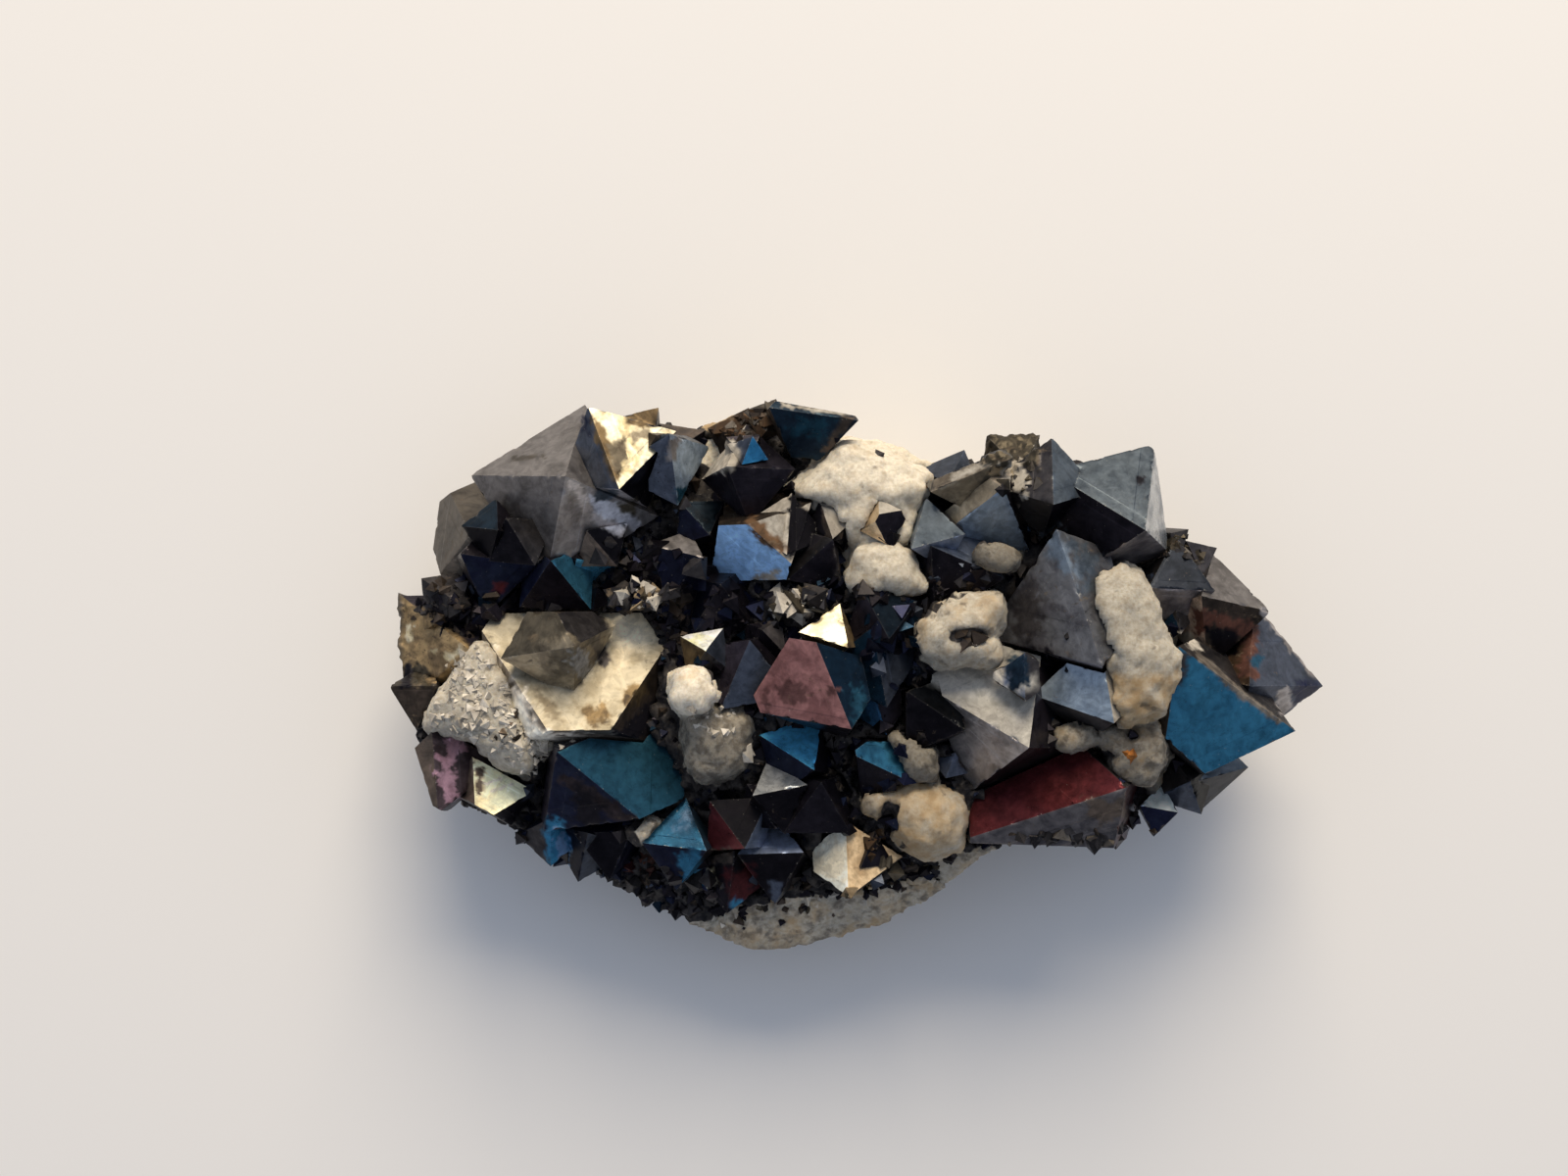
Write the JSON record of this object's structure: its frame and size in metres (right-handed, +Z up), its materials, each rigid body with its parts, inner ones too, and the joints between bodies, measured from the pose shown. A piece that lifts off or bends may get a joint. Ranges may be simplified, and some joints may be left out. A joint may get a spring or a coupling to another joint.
{
  "type": "magnetite crystal specimen",
  "caption": "Flat-based lump of pale feldspar rock overgrown with octahedral magnetite crystals in grey, blue, gold and copper metallic tarnish colours.",
  "frame": {"origin": "on the flat broken base of the rock, below the middle of the specimen", "axes": "+Z up out of the base, +X along the specimen's length towards the end with the large blue crystal, +Y towards the edge with the large grey crystal's tip"},
  "size_m": [0.0712, 0.0421, 0.0216],
  "materials": {
    "pale_feldspar_rock": "matt granular off-white feldspar, stained tan and rust, dark crumbly rim",
    "lilac_grey_iron": "lilac-grey metallic growth faces with fine steps, one face a pale gold mirror",
    "pitted_steel_blue": "pitted steel-blue metallic",
    "rough_bronze": "rough glittering bronze metallic",
    "pale_gold": "pale gold metallic, the upper crystal dark grey",
    "plum_and_gold": "plum and striated gold metallic",
    "deep_teal": "deep teal metallic with broken blue-black edges",
    "blue_black": "blue-black metallic with a dark red and a white face",
    "copper_pink": "stained copper-pink and dark blue metallic",
    "light_blue_on_black": "light blue and black metallic",
    "teal_black": "teal-black metallic",
    "iron_black": "iron black metallic",
    "mottled_slate": "slate blue and mottled dark grey metallic",
    "silver_white": "silver-white and light blue metallic",
    "dark_red_black": "dark red and striated grey metallic",
    "peacock_blue": "peacock blue, slate and lilac metallic",
    "bright_silver": "bright silver metallic",
    "rim_black": "dull black metallic",
    "small_peacock_blue": "peacock blue metallic"
  },
  "bodies": {
    "root": {"feldspar_rock": "pale_feldspar_rock", "big_grey_crystals": "lilac_grey_iron", "pitted_steel_blue_crystal": "pitted_steel_blue", "bronze_crystals": "rough_bronze", "pale_gold_crystals": "pale_gold", "plum_and_gold_crystals": "plum_and_gold", "teal_crystals": "deep_teal", "lower_blue_and_red_crystals": "blue_black", "copper_and_dark_blue_crystals": "copper_pink", "light_blue_and_black_crystals": "light_blue_on_black", "teal_black_top_crystals": "teal_black", "dark_crystal_in_the_white_rock": "iron_black", "slate_and_mottled_crystals": "mottled_slate", "silver_crystals": "silver_white", "dark_red_crystals": "dark_red_black", "right_end_crystals": "peacock_blue", "silver_prism_crystals": "bright_silver", "small_dark_rim_crystal": "rim_black", "small_peacock_crystal": "small_peacock_blue"}
  },
  "joints": []
}
